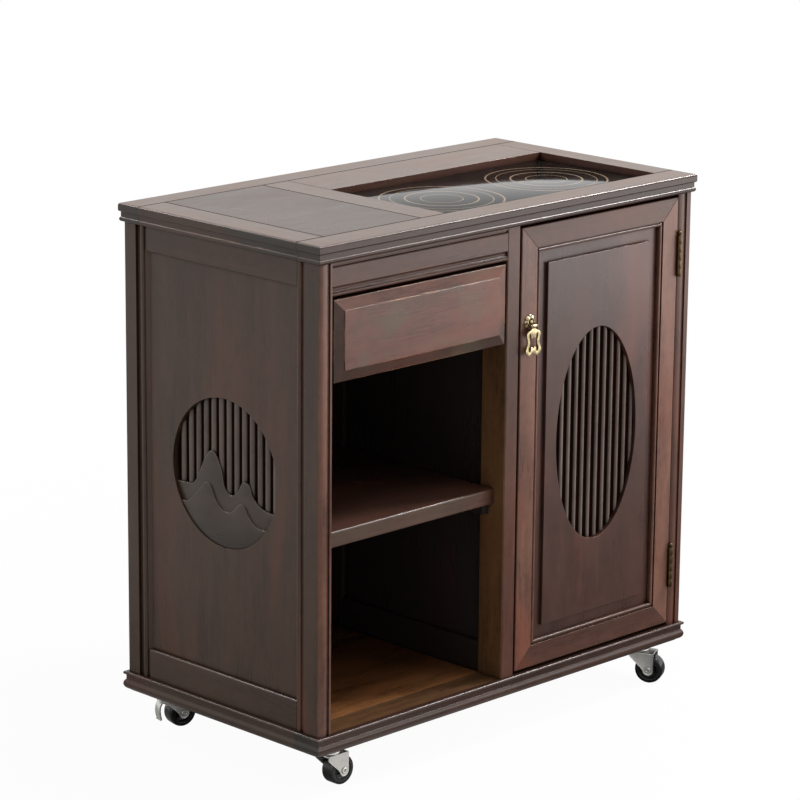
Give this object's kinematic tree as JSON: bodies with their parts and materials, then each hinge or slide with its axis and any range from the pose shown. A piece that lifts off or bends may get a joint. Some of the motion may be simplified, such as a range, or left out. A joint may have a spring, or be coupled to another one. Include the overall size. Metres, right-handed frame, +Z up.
{
  "type": "tea table",
  "caption": "Dark stained wooden tea cabinet on swivel casters with an open shelved bay, a drawer, a hinged door with a slatted oval window and a glass plate sunk in its top.",
  "frame": {"origin": "on the floor under the middle of the cabinet", "axes": "+X to the right along the long side as seen from the front, +Y to the back, +Z up; the door and drawer face -Y"},
  "size_m": [0.75, 0.4063, 0.762],
  "materials": {
    "frame_wood": "dark stained hardwood, semi-gloss lacquer",
    "top_wood": "greyish brown stained hardwood, semi-gloss lacquer",
    "panel_wood": "dark stained hardwood panel, semi-gloss lacquer",
    "slat_wood": "dark stained hardwood slats, semi-gloss lacquer",
    "drawer_wood": "reddish stained hardwood, worn at the raised edges",
    "floor_wood": "warm brown hardwood, satin lacquer",
    "inside_wood": "plain dark wood inside the cabinet, satin",
    "glass_plate": "glossy printed glass-ceramic",
    "brass": "antique brass, worn bright on the high places",
    "steel": "plain steel",
    "zinc": "zinc-plated pressed steel",
    "wheel": "hard dark nylon"
  },
  "bodies": {
    "cabinet": {"post_front_left": "frame_wood", "post_front_right": "frame_wood", "post_back_left": "frame_wood", "post_back_right": "frame_wood", "side_left_rails": "frame_wood", "side_right_rails": "frame_wood", "divider_front_post": "frame_wood", "fascia_rail": "frame_wood", "base_front": "frame_wood", "base_back": "frame_wood", "base_cross_rails": "frame_wood", "top_front_rail": "top_wood", "top_back_rail": "top_wood", "top_left_stile": "top_wood", "top_right_stile": "top_wood", "top_mid_rail": "top_wood", "top_left_panel": "top_wood", "top_back_strip": "top_wood", "side_left_panel": "panel_wood", "side_right_panel": "panel_wood", "side_left_hills": "panel_wood", "side_right_hills": "panel_wood", "side_left_slats": "slat_wood", "side_right_slats": "slat_wood", "floor_boards": "floor_wood", "shelf": "floor_wood", "back_rails": "inside_wood", "back_panel": "inside_wood", "divider_back_post": "inside_wood", "divider_rails": "inside_wood", "divider_panel": "inside_wood", "shelf_cleats": "inside_wood", "drawer_runners": "inside_wood", "stove_ledges": "inside_wood", "stove_plate": "glass_plate", "hinge_post_leaves": "brass", "door_catch": "steel", "caster_screws": "steel", "caster_plates": "zinc"},
    "door": {"door_stiles": "frame_wood", "door_rails": "frame_wood", "door_panel": "panel_wood", "door_slats": "slat_wood", "hinge_door_leaves": "brass", "pull_rosette": "brass", "door_strike": "steel"},
    "pull_drop": {"pull_pendant": "brass"},
    "drawer": {"drawer_front": "drawer_wood", "drawer_box": "inside_wood", "drawer_bottom": "inside_wood"},
    "fork_front_left": {"caster_fork_front_left": "zinc"},
    "wheel_front_left": {"caster_wheel_front_left": "wheel"},
    "fork_front_right": {"caster_fork_front_right": "zinc"},
    "wheel_front_right": {"caster_wheel_front_right": "wheel"},
    "fork_back_left": {"caster_fork_back_left": "zinc"},
    "wheel_back_left": {"caster_wheel_back_left": "wheel"},
    "brake_back_left": {"brake_lever_back_left": "zinc"},
    "fork_back_right": {"caster_fork_back_right": "zinc"},
    "wheel_back_right": {"caster_wheel_back_right": "wheel"},
    "brake_back_right": {"brake_lever_back_right": "zinc"}
  },
  "joints": [
    {"name": "door_swing", "type": "hinge", "parent": "cabinet", "child": "door", "pos_m": [0.3425, -0.19775, 0.412], "axis": [0, 0, 1], "range_deg": [0, 170]},
    {"name": "pull_swing", "type": "hinge", "parent": "door", "child": "pull_drop", "pos_m": [0.031, -0.2035, 0.593], "axis": [-1, 0, 0], "range_deg": [-7, 95]},
    {"name": "drawer_slide", "type": "slide", "parent": "cabinet", "child": "drawer", "axis": [0, -1, 0], "range_m": [0, 0.25]},
    {"name": "swivel_front_left", "type": "hinge", "parent": "cabinet", "child": "fork_front_left", "pos_m": [-0.3195, -0.1635, 0.05], "axis": [0, 0, 1], "continuous": true},
    {"name": "roll_front_left", "type": "hinge", "parent": "fork_front_left", "child": "wheel_front_left", "pos_m": [-0.3035, -0.1635, 0.021], "axis": [0, 1, 0], "continuous": true},
    {"name": "swivel_front_right", "type": "hinge", "parent": "cabinet", "child": "fork_front_right", "pos_m": [0.3195, -0.1635, 0.05], "axis": [0, 0, 1], "continuous": true},
    {"name": "roll_front_right", "type": "hinge", "parent": "fork_front_right", "child": "wheel_front_right", "pos_m": [0.32651, -0.17788, 0.021], "axis": [0.8988, 0.4384, 0], "continuous": true},
    {"name": "swivel_back_left", "type": "hinge", "parent": "cabinet", "child": "fork_back_left", "pos_m": [-0.3195, 0.1635, 0.05], "axis": [0, 0, 1], "continuous": true},
    {"name": "roll_back_left", "type": "hinge", "parent": "fork_back_left", "child": "wheel_back_left", "pos_m": [-0.30385, 0.16017, 0.021], "axis": [0.2079, 0.9781, 0], "continuous": true},
    {"name": "press_back_left", "type": "hinge", "parent": "fork_back_left", "child": "brake_back_left", "pos_m": [-0.32879, 0.16548, 0.0405], "axis": [-0.2079, -0.9781, 0], "range_deg": [0, 12]},
    {"name": "swivel_back_right", "type": "hinge", "parent": "cabinet", "child": "fork_back_right", "pos_m": [0.3195, 0.1635, 0.05], "axis": [0, 0, 1], "continuous": true},
    {"name": "roll_back_right", "type": "hinge", "parent": "fork_back_right", "child": "wheel_back_right", "pos_m": [0.33261, 0.15432, 0.021], "axis": [0.5736, 0.8192, 0], "continuous": true},
    {"name": "press_back_right", "type": "hinge", "parent": "fork_back_right", "child": "brake_back_right", "pos_m": [0.31172, 0.16895, 0.0405], "axis": [-0.5736, -0.8192, 0], "range_deg": [0, 12]}
  ]
}
